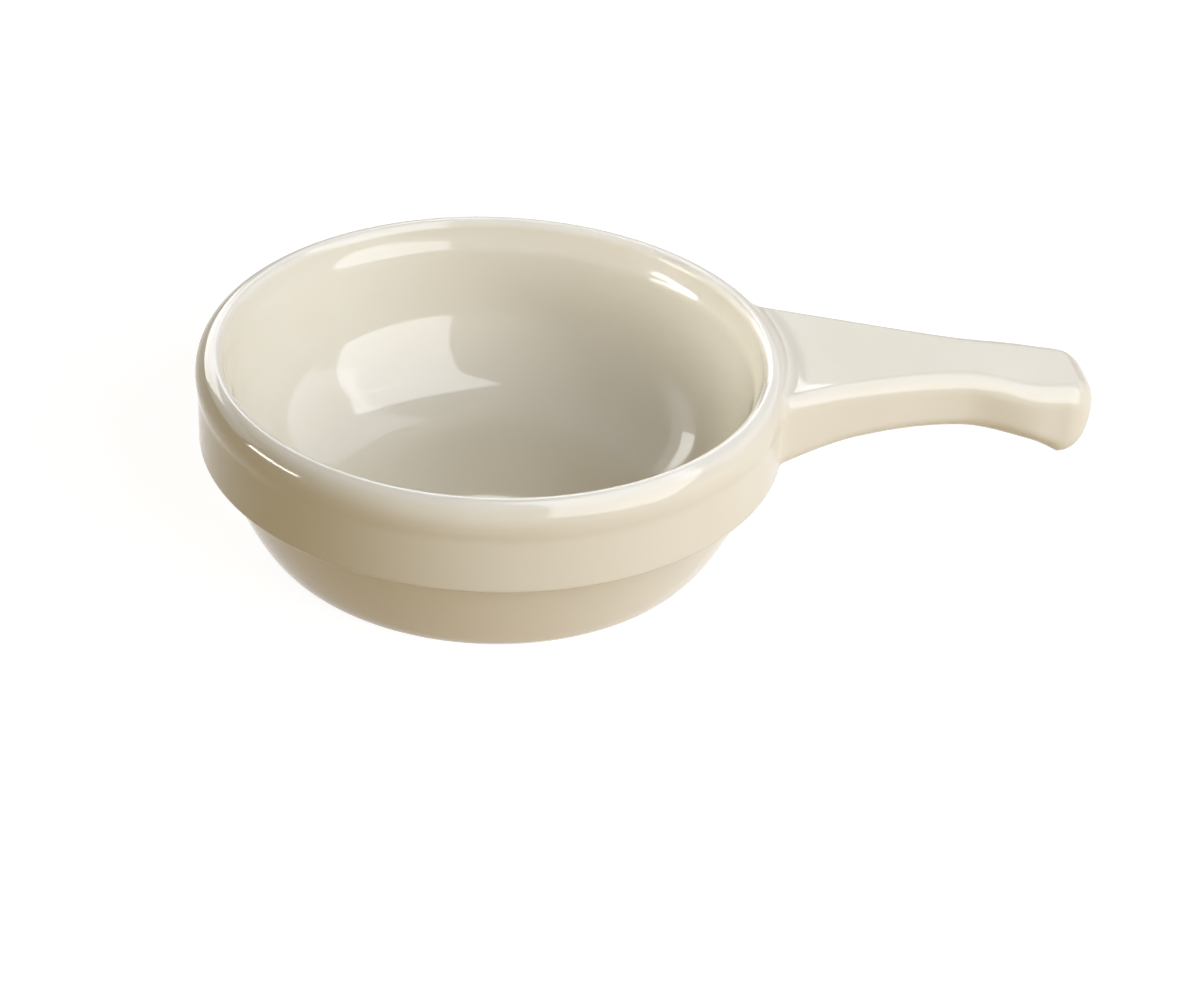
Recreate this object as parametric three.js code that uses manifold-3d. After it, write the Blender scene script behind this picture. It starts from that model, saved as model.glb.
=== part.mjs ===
// A casserole bowl of glazed ceramic with one stub handle.
// The bowl and the handle are formed apart, and a pad of slip joins the handle's saddle to the bowl's band.
// Millimetres, +Z up. The origin is on the bowl's axis at the table, and the handle points along +X.

import * as THREE from "three";
import { mergeVertices } from "three/addons/utils/BufferGeometryUtils.js";
import Module from "manifold-3d";

const wasm = await Module();
wasm.setup();

// Bowl, outside
const BOWL_HEIGHT = 42.8;
const RIM_RADIUS = 63.5; // the widest ring, on the rim's bead
const LIP_OUTER_ROUND = 4; // from the widest ring in to the lip's highest ring
const BEAD_DROP = 4.7; // from the lip's top down to the widest ring
const BEAD_FADE = 4.6; // from the bead's widest ring down to where it fades into the band
const BEAD_PROUD = 0.4; // how far the bead stands out from the band
const BAND_HEIGHT = 20.4; // from the lip's top down to the band's lower edge
const BAND_EDGE_ROUND = 0.8;
const STEP_DEPTH = 3; // how far the lower wall is set in under the band
const BASE_RADIUS = 48.8; // the flat that stands on the table
const HEEL_REACH = 4.1; // the heel's curve turns this far out from the base
const HEEL_RISE = 2.4; // and this far above the table

// Bowl, inside
const LIP_INNER_ROUND = 1.8; // from the lip's highest ring in to the mouth
const NECK_DROP = 2.2; // from the lip's top down to the mouth's narrowest line
const LIP_STOP = 12; // the lip's round ends this many degrees before upright
const SHOULDER_DIP = 5.4; // from the lip's top down to the middle of the soft inner shoulder
const SHOULDER_REACH = 1.15; // how far that middle lies inside the mouth
const SHOULDER_LEAN = 27; // and its lean from upright in degrees
const SHOULDER_FOOT_DIP = 8.8; // from the lip's top down to where the shoulder ends in the wall
const SHOULDER_FOOT_REACH = 2; // how far that lies inside the mouth
const WALL = 6; // at the step
const CREASE_ROUND = 3.2; // the crease at the step's height turns softly over this length of each wall
const TURN_RADIUS = 45.9; // the lower wall heads for this ring on the floor and curves in before it
const FLOOR_THICKNESS = 5;
const FLOOR_RADIUS = 16; // the flat middle of the floor

// Handle, seen from above: distances out from the rim, and full widths there
const SHOULDER_OUT = 14.3;
const WAIST_OUT = 38.2;
const SWELL_OUT = 53.2;
const CHIN_OUT = 60.5; // the chin is the lowest place of the tip
const TIP_OUT = 68.4;
const SADDLE_WIDTH = 44;
const SHOULDER_WIDTH = 31.8;
const WAIST_WIDTH = 21.1;
const SWELL_WIDTH = 24;
const TIP_WIDTH = 22.7;
const TIP_CORNER_ROUND = 7.6;

// Handle, seen from the side: how far its top lies below the lip, and its depth from there down
const SADDLE_DROP = 1.9;
const SHOULDER_DROP = 2.2;
const WAIST_DROP = 3.8;
const SWELL_DROP = 6.4;
const CHIN_DROP = 7.2;
const TIP_DROP = 7.8;
const SADDLE_DEPTH = 16.7;
const SHOULDER_DEPTH = 13.6;
const WAIST_DEPTH = 13.1;
const SWELL_DEPTH = 13.7;
const CHIN_DEPTH = 16.8;
const TIP_ROUND = 4.6; // the top rounds over by this much at the tip
const TIP_BLUNT = 0.6; // the blunt edge left there, above the slanted end face
const END_FULLNESS = 2.5; // 2 makes the end face a quarter ellipse, and more makes it blunter

// Handle, the round of its long edges
const ROOT_EDGE_ROUND = 3;
const WAIST_EDGE_ROUND = 3.8;
const TIP_EDGE_ROUND = 4.6;

// Joint
const SEAT_GAP = 0.3; // left on each side of the slip pad
const SLIP_THICKNESS = 1.2;
const SLIP_SPREAD = 0.8; // how far the slip is pressed out past the handle's section

// Fineness of the faceted surfaces
const AROUND = 72;
const CURVE_STEPS = 5;
const CORNER_STEPS = 5;
const NECK_STEPS = 18;
const END_STEPS = 8;
const WELD = 1e-4;

const bandRadius = RIM_RADIUS - BEAD_PROUD;
const stepHeight = BOWL_HEIGHT - BAND_HEIGHT;
const waistRadius = bandRadius - STEP_DEPTH;
const lipRadius = RIM_RADIUS - LIP_OUTER_ROUND; // the lip's highest ring
const mouthRadius = lipRadius - LIP_INNER_ROUND; // its narrowest line

const glaze = new THREE.MeshStandardMaterial({ color: 0xeae6dc, roughness: 0.12, metalness: 0 });
const slip = new THREE.MeshStandardMaterial({ color: 0xe8e3d7, roughness: 0.45, metalness: 0 });

// Outer profile from the base's middle up to the lip's highest ring, set outwards by grow.
function outerProfile(grow) {
  const path = new THREE.Path();
  const base = BASE_RADIUS + grow;
  const edge = bandRadius + grow - BAND_EDGE_ROUND;
  const beadRing = BOWL_HEIGHT - BEAD_DROP;
  const beadFoot = beadRing - BEAD_FADE;
  const beadMiddle = (beadRing + beadFoot) / 2;
  path.moveTo(0, 0);
  path.lineTo(base, 0);
  path.quadraticCurveTo(base + HEEL_REACH, HEEL_RISE, waistRadius + grow, stepHeight);
  path.lineTo(edge, stepHeight);
  path.absarc(edge, stepHeight + BAND_EDGE_ROUND, BAND_EDGE_ROUND, -Math.PI / 2, 0);
  path.lineTo(bandRadius + grow, beadFoot);
  path.bezierCurveTo(
    bandRadius + grow,
    beadMiddle,
    RIM_RADIUS + grow,
    beadMiddle,
    RIM_RADIUS + grow,
    beadRing,
  );
  path.absellipse(lipRadius + grow, beadRing, LIP_OUTER_ROUND, BEAD_DROP, 0, Math.PI / 2);
  return path;
}

// Continues the outer profile over the lip and down the inside to the middle of the floor.
function addInside(path) {
  const shoulder = new THREE.Vector2(mouthRadius - SHOULDER_REACH, BOWL_HEIGHT - SHOULDER_DIP);
  const foot = new THREE.Vector2(mouthRadius - SHOULDER_FOOT_REACH, BOWL_HEIGHT - SHOULDER_FOOT_DIP);
  const crease = new THREE.Vector2(waistRadius - WALL, stepHeight);
  const turn = new THREE.Vector2(TURN_RADIUS, FLOOR_THICKNESS);
  const above = towards(crease, foot, CREASE_ROUND);
  const below = towards(crease, turn, CREASE_ROUND);
  const lipEnd = Math.PI - THREE.MathUtils.degToRad(LIP_STOP);
  const neckHeight = BOWL_HEIGHT - NECK_DROP;
  path.absellipse(lipRadius, neckHeight, LIP_INNER_ROUND, NECK_DROP, Math.PI / 2, lipEnd);
  const start = path.currentPoint.clone();
  const down = new THREE.Vector2(-LIP_INNER_ROUND * Math.sin(lipEnd), NECK_DROP * Math.cos(lipEnd));
  const lean = THREE.MathUtils.degToRad(SHOULDER_LEAN);
  const slope = new THREE.Vector2(-Math.sin(lean), -Math.cos(lean));
  const pull = start.distanceTo(shoulder) / 3;
  curveOn(path, start, down, shoulder, slope, pull);
  curveOn(path, shoulder, slope, foot, above.clone().sub(foot), pull);
  path.lineTo(above.x, above.y);
  path.quadraticCurveTo(crease.x, crease.y, below.x, below.y);
  path.quadraticCurveTo(turn.x, turn.y, FLOOR_RADIUS, FLOOR_THICKNESS);
  path.lineTo(0, FLOOR_THICKNESS);
  return path;
}

// Draws a path on from one point to another, along a given way at each, pulled by the same length.
function curveOn(path, from, leaving, to, arriving, pull) {
  const first = leaving.clone().setLength(pull).add(from);
  const second = to.clone().sub(arriving.clone().setLength(pull));
  path.bezierCurveTo(first.x, first.y, second.x, second.y, to.x, to.y);
}

// The point at a distance from one point on the way to another.
function towards(from, to, distance) {
  return to.clone().sub(from).setLength(distance).add(from);
}

// Turns a profile about +Z.
function turned(path) {
  return new THREE.LatheGeometry(path.getPoints(CURVE_STEPS), AROUND).rotateX(Math.PI / 2);
}

// The bowl's outer form as a full solid, set outwards by grow.
function bowlCore(grow) {
  const path = outerProfile(grow);
  path.lineTo(0, BOWL_HEIGHT);
  return solid(turned(path));
}

// A smooth line through the values at the handle's stations.
function through(reaches, values) {
  const line = new THREE.CubicInterpolant(reaches, values, 1);
  return (reach) => line.evaluate(reach)[0];
}

// Distances from the bowl's axis to the handle's stations. The saddle's horns lie on the rim's circle.
const saddleReach = Math.sqrt(RIM_RADIUS ** 2 - (SADDLE_WIDTH / 2) ** 2);
const chinReach = RIM_RADIUS + CHIN_OUT;
const tipReach = RIM_RADIUS + TIP_OUT;
const stations = [
  saddleReach,
  RIM_RADIUS + SHOULDER_OUT,
  RIM_RADIUS + WAIST_OUT,
  RIM_RADIUS + SWELL_OUT,
  chinReach,
  tipReach,
];
const widthAt = through(stations, [
  SADDLE_WIDTH,
  SHOULDER_WIDTH,
  WAIST_WIDTH,
  SWELL_WIDTH,
  TIP_WIDTH,
  TIP_WIDTH,
]);
const dropAt = through(stations, [
  SADDLE_DROP,
  SHOULDER_DROP,
  WAIST_DROP,
  SWELL_DROP,
  CHIN_DROP,
  TIP_DROP,
]);
const depthAt = through(stations.slice(0, -1), [
  SADDLE_DEPTH,
  SHOULDER_DEPTH,
  WAIST_DEPTH,
  SWELL_DEPTH,
  CHIN_DEPTH,
]);
const edgeRoundAt = through(
  [saddleReach, RIM_RADIUS + WAIST_OUT, tipReach],
  [ROOT_EDGE_ROUND, WAIST_EDGE_ROUND, TIP_EDGE_ROUND],
);

// How far a quarter round of this size that ends at the tip has fallen away at this reach.
function fallAway(round, reach) {
  const past = THREE.MathUtils.clamp(reach - (tipReach - round), 0, round);
  return round - Math.sqrt(round ** 2 - past ** 2);
}

// The handle's underside: the arch up to its chin, then the slanted end face up to the tip.
function undersideAt(reach) {
  const arch = BOWL_HEIGHT - dropAt(reach) - depthAt(reach);
  if (reach <= chinReach) return arch;
  const lowest = BOWL_HEIGHT - CHIN_DROP - CHIN_DEPTH;
  const highest = BOWL_HEIGHT - TIP_DROP - TIP_ROUND - TIP_BLUNT;
  const along = Math.min(1, (reach - chinReach) / (tipReach - chinReach));
  const rise = 1 - Math.pow(1 - Math.pow(along, END_FULLNESS), 1 / END_FULLNESS);
  return lowest + (highest - lowest) * rise;
}

// One section of the handle, a rectangle with round corners, set outwards by grow.
function handleSection(reach, grow) {
  const half = widthAt(reach) / 2 - fallAway(TIP_CORNER_ROUND, reach) + grow;
  const top = BOWL_HEIGHT - dropAt(reach) - fallAway(TIP_ROUND, reach) + grow;
  const bottom = undersideAt(reach) - grow;
  const round = Math.min(edgeRoundAt(reach), (top - bottom) / 2, half);
  const corners = [
    [half - round, top - round],
    [round - half, top - round],
    [round - half, bottom + round],
    [half - round, bottom + round],
  ];
  const ring = [];
  corners.forEach(([y, z], quarter) => {
    for (let step = 0; step <= CORNER_STEPS; step++) {
      const angle = ((quarter + step / CORNER_STEPS) * Math.PI) / 2;
      ring.push(new THREE.Vector3(reach, y + round * Math.cos(angle), z + round * Math.sin(angle)));
    }
  });
  return ring;
}

// Joins rings of equal length into a closed skin with a fan over each end.
function loft(rings) {
  const count = rings[0].length;
  const points = rings.flat();
  const faces = [];
  const fan = (ring, centre, flip) => {
    points.push(centre);
    const hub = points.length - 1;
    for (let k = 0; k < count; k++) {
      const pair = [ring * count + k, ring * count + ((k + 1) % count)];
      faces.push(hub, ...(flip ? pair.reverse() : pair));
    }
  };
  for (let ring = 0; ring + 1 < rings.length; ring++) {
    for (let k = 0; k < count; k++) {
      const next = (k + 1) % count;
      const a = ring * count + k;
      const b = ring * count + next;
      faces.push(a, b, b + count, a, b + count, a + count);
    }
  }
  fan(0, middle(rings[0]), true);
  fan(rings.length - 1, middle(rings.at(-1)), false);
  return new THREE.BufferGeometry().setFromPoints(points).setIndex(faces);
}

function middle(ring) {
  const sum = ring.reduce((total, point) => total.add(point), new THREE.Vector3());
  return sum.divideScalar(ring.length);
}

// The handle's whole form from inside the bowl's wall out to the tip, set outwards by grow.
function handleForm(grow) {
  const start = saddleReach - SLIP_THICKNESS - LIP_OUTER_ROUND;
  const rings = [];
  for (let step = 0; step < NECK_STEPS; step++) {
    rings.push(handleSection(THREE.MathUtils.lerp(start, chinReach, step / NECK_STEPS), grow));
  }
  for (let step = 0; step <= END_STEPS; step++) {
    const ease = Math.sin((step / END_STEPS) * (Math.PI / 2));
    rings.push(handleSection(THREE.MathUtils.lerp(chinReach, tipReach, ease), grow));
  }
  return solid(loft(rings));
}

// A closed geometry as a solid that can be joined and cut.
function solid(geometry) {
  const bare = geometry.clone();
  bare.deleteAttribute("normal");
  bare.deleteAttribute("uv");
  const merged = mergeVertices(bare, WELD);
  const mesh = new wasm.Mesh({
    numProp: 3,
    vertProperties: merged.getAttribute("position").array,
    triVerts: new Uint32Array(merged.index.array),
  });
  return new wasm.Manifold(mesh);
}

// A solid back as a geometry.
function geometryOf(made) {
  const mesh = made.getMesh();
  const geometry = new THREE.BufferGeometry();
  geometry.setAttribute("position", new THREE.BufferAttribute(mesh.vertProperties, 3));
  geometry.setIndex(new THREE.BufferAttribute(mesh.triVerts, 1));
  geometry.computeVertexNormals();
  return geometry;
}

// The bowl: rim bead, upright band, step and rounded lower wall on a flat base.
function bowlBody() {
  return turned(addInside(outerProfile(0)));
}

// The handle, its root cut to a saddle that follows the band and the bead.
function handle() {
  return geometryOf(handleForm(0).subtract(bowlCore(SEAT_GAP + SLIP_THICKNESS + SEAT_GAP)));
}

// The pad of slip between the band and the saddle.
function lutingSlip() {
  const pad = handleForm(SLIP_SPREAD).intersect(bowlCore(SEAT_GAP + SLIP_THICKNESS));
  return geometryOf(pad.subtract(bowlCore(SEAT_GAP)));
}

function part(name, geometry, material) {
  const mesh = new THREE.Mesh(geometry, material);
  mesh.name = name;
  return mesh;
}

const casseroleBowl = new THREE.Group();
casseroleBowl.name = "casserole_bowl";
casseroleBowl.add(part("bowl_body", bowlBody(), glaze));
casseroleBowl.add(part("handle", handle(), glaze));
casseroleBowl.add(part("luting_slip", lutingSlip(), slip));

export default casseroleBowl;
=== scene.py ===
"""Casserole bowl of glazed ceramic with one stub handle, dressed for its picture.

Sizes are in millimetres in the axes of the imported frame: +X along the handle, +Z up, the origin on
the bowl's axis at the table. The meshes are in metres.
"""

import logging
import math
from dataclasses import dataclass
from enum import Enum

import bmesh
import bpy
from mathutils import Matrix, Vector


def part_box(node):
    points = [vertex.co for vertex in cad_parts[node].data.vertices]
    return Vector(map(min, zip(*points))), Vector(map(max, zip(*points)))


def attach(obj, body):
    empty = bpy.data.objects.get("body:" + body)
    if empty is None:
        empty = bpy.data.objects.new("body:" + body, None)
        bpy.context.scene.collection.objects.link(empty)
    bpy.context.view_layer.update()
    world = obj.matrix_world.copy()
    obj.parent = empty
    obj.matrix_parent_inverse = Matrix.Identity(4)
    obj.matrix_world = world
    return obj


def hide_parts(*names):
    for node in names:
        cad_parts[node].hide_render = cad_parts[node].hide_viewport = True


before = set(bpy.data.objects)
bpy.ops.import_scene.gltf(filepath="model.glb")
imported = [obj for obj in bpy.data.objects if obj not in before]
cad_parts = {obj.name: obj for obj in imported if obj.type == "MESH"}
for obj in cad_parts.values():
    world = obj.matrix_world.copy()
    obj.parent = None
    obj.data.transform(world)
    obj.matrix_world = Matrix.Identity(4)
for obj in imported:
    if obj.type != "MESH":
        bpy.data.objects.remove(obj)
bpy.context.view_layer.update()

MM = 0.001
PHOTO_WIDTH = 1200
LOG = logging.getLogger("casserole_bowl")

Point = tuple[float, float]
Colour = tuple[float, float, float]
Place = tuple[float, float, float]

DAYLIGHT: Colour = (0.955, 0.985, 1.06)
RIM_RIGHT: Place = (0.06, 0.0, 0.045)


class Node(Enum):
    """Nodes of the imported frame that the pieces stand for."""

    BOWL = "bowl_body"
    HANDLE = "handle"
    SLIP = "luting_slip"


class Slot(Enum):
    """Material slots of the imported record."""

    BOWL = "glazed_bowl"
    HANDLE = "glazed_handle"
    SLIP = "slip_joint"


class Curves:
    """Plane curves as short lists of points."""

    @staticmethod
    def line(start: Point, end: Point, steps: int) -> list[Point]:
        """Points along a straight stretch.

        Args:
            start: The first point.
            end: The last point.
            steps: The number of equal steps.

        Returns:
            The points, both ends included.
        """
        shares = [k / steps for k in range(steps + 1)]
        return [(start[0] + (end[0] - start[0]) * s, start[1] + (end[1] - start[1]) * s) for s in shares]

    @staticmethod
    def ellipse(centre: Point, radii: Point, start: float, end: float, steps: int) -> list[Point]:
        """Points along an arc of an upright ellipse.

        Args:
            centre: The middle of the ellipse.
            radii: Its half width and half height.
            start: The first angle in degrees.
            end: The last angle in degrees.
            steps: The number of equal steps of the angle.

        Returns:
            The points, both ends included.
        """
        angles = [math.radians(start + (end - start) * k / steps) for k in range(steps + 1)]
        return [(centre[0] + radii[0] * math.cos(a), centre[1] + radii[1] * math.sin(a)) for a in angles]

    @staticmethod
    def bezier(points: list[Point], steps: int) -> list[Point]:
        """Points along a Bezier curve of any degree.

        Args:
            points: The control points.
            steps: The number of equal steps of the curve's own measure.

        Returns:
            The points, both ends included.
        """
        degree = len(points) - 1
        out = []
        for k in range(steps + 1):
            s = k / steps
            weights = [math.comb(degree, i) * s**i * (1 - s) ** (degree - i) for i in range(degree + 1)]
            out.append((
                sum(w * p[0] for w, p in zip(weights, points)),
                sum(w * p[1] for w, p in zip(weights, points)),
            ))
        return out

    @staticmethod
    def towards(start: Point, end: Point, distance: float) -> Point:
        """The point at a distance from one point on the way to another.

        Args:
            start: Where the way begins.
            end: Where it leads.
            distance: How far to go.

        Returns:
            The point.
        """
        share = distance / math.dist(start, end)
        return (start[0] + (end[0] - start[0]) * share, start[1] + (end[1] - start[1]) * share)


class SmoothLine:
    """A smooth line through values at rising places, straight at both ends."""

    def __init__(self, places: list[float], values: list[float]) -> None:
        """Keeps the values and works out the slope at each place.

        Args:
            places: Rising places.
            values: The value at each place.
        """
        self.places = places
        self.values = values
        last = len(places) - 1
        self.slopes = [self._chord(max(k - 1, 0), min(k + 1, last)) for k in range(last + 1)]
        self.slopes[0] = 1.5 * self._chord(0, 1) - 0.5 * self.slopes[1]
        self.slopes[last] = 1.5 * self._chord(last - 1, last) - 0.5 * self.slopes[last - 1]

    def _chord(self, a: int, b: int) -> float:
        """Slope of the straight line between two of the places.

        Args:
            a: The first place's number.
            b: The second place's number.

        Returns:
            The slope.
        """
        return (self.values[b] - self.values[a]) / (self.places[b] - self.places[a])

    def __call__(self, place: float) -> float:
        """The value at a place.

        Args:
            place: Where to read the line, also a little past its ends.

        Returns:
            The value there.
        """
        last = len(self.places) - 2
        k = min(max(sum(place >= p for p in self.places) - 1, 0), last)
        span = self.places[k + 1] - self.places[k]
        s = (place - self.places[k]) / span
        if s < 0:
            return self.values[k] + self.slopes[k] * s * span
        if s > 1:
            return self.values[k + 1] + self.slopes[k + 1] * (s - 1) * span
        rise = s * s * (3 - 2 * s)
        return (
            self.values[k] * (1 - rise)
            + self.values[k + 1] * rise
            + span * (self.slopes[k] * s * (1 - s) ** 2 - self.slopes[k + 1] * s * s * (1 - s))
        )


class Bench:
    """Modelling moves in edit mode, as a maker makes them by hand."""

    RANK = "rank"
    WELD = 0.002

    @staticmethod
    def clear_selection() -> None:
        """Leaves every object unselected."""
        if bpy.context.object and bpy.context.object.mode != "OBJECT":
            bpy.ops.object.mode_set(mode="OBJECT")
        bpy.ops.object.select_all(action="DESELECT")

    @classmethod
    def turn_profile(cls, name: str, profile: list[Point], steps: int) -> bpy.types.Object:
        """Draws a profile from a single vertex and spins it about +Z into a closed form.

        Args:
            name: The new object's name.
            profile: Radius and height of each point in millimetres, from axis to axis.
            steps: The number of steps round the turn.

        Returns:
            The object, in object mode.
        """
        cls.clear_selection()
        bpy.ops.mesh.primitive_plane_add(size=MM)
        piece = cls._named(name)
        bpy.ops.object.mode_set(mode="EDIT")
        bpy.ops.mesh.select_all(action="SELECT")
        bpy.ops.mesh.merge(type="CENTER")
        spot = Vector((0, 0, 0))
        for k, (radius, height) in enumerate(profile):
            target = Vector((radius * MM, 0, height * MM))
            if k == 0:
                bpy.ops.transform.translate(value=target - spot)
            else:
                bpy.ops.mesh.extrude_region_move(TRANSFORM_OT_translate={"value": target - spot})
            spot = target
        bpy.ops.mesh.select_all(action="SELECT")
        bpy.ops.mesh.spin(steps=steps, angle=math.tau, center=(0, 0, 0), axis=(0, 0, 1))
        bpy.ops.mesh.select_all(action="SELECT")
        bpy.ops.mesh.remove_doubles(threshold=cls.WELD * MM)
        bpy.ops.mesh.normals_make_consistent(inside=False)
        bpy.ops.object.mode_set(mode="OBJECT")
        return piece

    @classmethod
    def draw_rings(cls, name: str, rings: list[list[Vector]]) -> bpy.types.Object:
        """Draws a closed skin out of a circle of vertices, ring by ring, and fills both ends.

        Args:
            name: The new object's name.
            rings: Rings of equally many points in millimetres.

        Returns:
            The object, in object mode.
        """
        cls.clear_selection()
        bpy.ops.mesh.primitive_circle_add(vertices=len(rings[0]), radius=MM, fill_type="NGON")
        piece = cls._named(name)
        bpy.ops.object.mode_set(mode="EDIT")
        bpy.ops.mesh.select_mode(type="VERT")
        bpy.ops.mesh.select_all(action="SELECT")
        mesh = bmesh.from_edit_mesh(piece.data)
        rank = mesh.verts.layers.int.new(cls.RANK)
        for k, vert in enumerate(mesh.verts):
            vert[rank] = k
        cls._seat(piece, rings[0])
        for ring in rings[1:]:
            bpy.ops.mesh.extrude_region_move()
            cls._seat(piece, ring)
        bpy.ops.mesh.select_all(action="SELECT")
        bpy.ops.mesh.normals_make_consistent(inside=False)
        mesh = bmesh.from_edit_mesh(piece.data)
        mesh.verts.layers.int.remove(mesh.verts.layers.int[cls.RANK])
        bpy.ops.object.mode_set(mode="OBJECT")
        return piece

    @classmethod
    def _seat(cls, piece: bpy.types.Object, ring: list[Vector]) -> None:
        """Puts the selected ring of vertices on its points.

        Args:
            piece: The object in edit mode.
            ring: The points in millimetres, by the vertices' rank.
        """
        mesh = bmesh.from_edit_mesh(piece.data)
        rank = mesh.verts.layers.int[cls.RANK]
        for vert in mesh.verts:
            if vert.select:
                vert.co = ring[vert[rank]] * MM
        bmesh.update_edit_mesh(piece.data)

    @staticmethod
    def _named(name: str) -> bpy.types.Object:
        """Names the active object and its mesh.

        Args:
            name: The name.

        Returns:
            The object.
        """
        piece = bpy.context.object
        piece.name = name
        piece.data.name = name
        return piece

    @classmethod
    def _pick(cls, piece: bpy.types.Object) -> None:
        """Selects one piece alone and makes it the active one.

        Args:
            piece: The piece.
        """
        cls.clear_selection()
        piece.select_set(True)
        bpy.context.view_layer.objects.active = piece

    @classmethod
    def smooth(cls, piece: bpy.types.Object, angle: float) -> None:
        """Shades a piece smooth, apart from edges sharper than an angle.

        Args:
            piece: The object.
            angle: The sharpest smooth edge in degrees.
        """
        cls._pick(piece)
        bpy.ops.object.shade_smooth_by_angle(angle=math.radians(angle))

    @classmethod
    def borrow_normals(cls, piece: bpy.types.Object, source: bpy.types.Object, group: str) -> None:
        """Gives a vertex group the shading of the surface that it runs into.

        Args:
            piece: The object whose edge runs into another surface.
            source: The object with that surface.
            group: The vertex group, whose weights say how much to borrow.
        """
        cls._pick(piece)
        borrow = piece.modifiers.new(name=f"shading_{group}", type="DATA_TRANSFER")
        borrow.object = source
        borrow.use_loop_data = True
        borrow.data_types_loops = {"CUSTOM_NORMAL"}
        borrow.loop_mapping = "POLYINTERP_NEAREST"
        borrow.vertex_group = group
        bpy.ops.object.modifier_apply(modifier=borrow.name)


class NodeTree:
    """Short ways to lay out a material's nodes."""

    def __init__(self, material: bpy.types.Material) -> None:
        """Starts from the material's own shader.

        Args:
            material: A material that uses nodes.
        """
        self.tree = material.node_tree

    def shader(self) -> bpy.types.Node:
        """The material's surface shader.

        Returns:
            The shader's node.
        """
        return next(n for n in self.tree.nodes if n.type == "BSDF_PRINCIPLED")

    def add(self, kind: str, **inputs: object) -> bpy.types.Node:
        """Adds a node and sets or joins its inputs.

        Args:
            kind: The node's type name.
            **inputs: A value or an output socket for each named input.

        Returns:
            The node.
        """
        node = self.tree.nodes.new(kind)
        for name, value in inputs.items():
            self.join(value, node.inputs[name])
        return node

    def join(self, value: object, socket: bpy.types.NodeSocket) -> None:
        """Joins an output to a socket, or sets the socket's own value.

        Args:
            value: An output socket, a number or a colour.
            socket: The input socket.
        """
        if isinstance(value, bpy.types.NodeSocket):
            self.tree.links.new(value, socket)
        elif isinstance(value, tuple) and len(value) == 3 and socket.type == "RGBA":
            socket.default_value = (*value, 1.0)
        else:
            socket.default_value = value

    def noise(self, place: bpy.types.NodeSocket, scale: float, detail: float) -> bpy.types.NodeSocket:
        """A cloudy value.

        Args:
            place: The coordinates.
            scale: Clouds per metre.
            detail: How many finer layers it has.

        Returns:
            The value's socket.
        """
        return self.add("ShaderNodeTexNoise", Vector=place, Scale=scale, Detail=detail).outputs[0]

    def ramp(
        self, value: bpy.types.NodeSocket, low: float, high: float, first: float, last: float
    ) -> bpy.types.NodeSocket:
        """Spreads a value from one range over another and holds it there.

        Args:
            value: The value's socket.
            low: Where the old range starts.
            high: Where the old range ends.
            first: Where the new range starts.
            last: Where the new range ends.

        Returns:
            The new value's socket.
        """
        node = self.add("ShaderNodeMapRange")
        node.interpolation_type = "SMOOTHSTEP"
        for place, amount in zip((1, 2, 3, 4), (low, high, first, last)):
            node.inputs[place].default_value = amount
        self.join(value, node.inputs[0])
        return node.outputs[0]

    def near(
        self, value: bpy.types.NodeSocket, level: float, reach: float, most: float
    ) -> bpy.types.NodeSocket:
        """A mask that is strongest where a length in metres is near a level in millimetres.

        Args:
            value: The length's socket.
            level: The level in millimetres.
            reach: How far the mask reaches on both sides in millimetres.
            most: The mask's strongest value.

        Returns:
            The mask's socket.
        """
        away = self.sum_up("ABSOLUTE", self.sum_up("SUBTRACT", value, level * MM))
        return self.ramp(away, 0.0, reach * MM, most, 0.0)

    def sum_up(self, operation: str, *values: object) -> bpy.types.NodeSocket:
        """Works out one value from others.

        Args:
            operation: The name of the sum.
            *values: Sockets or numbers.

        Returns:
            The result's socket.
        """
        node = self.add("ShaderNodeMath")
        node.operation = operation
        for value, socket in zip(values, node.inputs):
            self.join(value, socket)
        return node.outputs[0]

    def mix(self, share: bpy.types.NodeSocket, first: object, second: object) -> bpy.types.NodeSocket:
        """Mixes two colours.

        Args:
            share: How much of the second colour.
            first: A colour or its socket.
            second: A colour or its socket.

        Returns:
            The mixed colour's socket.
        """
        node = self.tree.nodes.new("ShaderNodeMix")
        node.data_type = "RGBA"
        self.join(share, node.inputs["Factor"])
        self.join(first, node.inputs[6])
        self.join(second, node.inputs[7])
        return node.outputs[2]


@dataclass(frozen=True)
class PaintedLightLine:
    """A level where painted shade deepens the glaze's colour, or painted highlight pales it, kept to one
    side of the wall.
    """

    height: float
    reach: float
    radius_from: float = 0.0
    radius_to: float = 200.0


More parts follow.
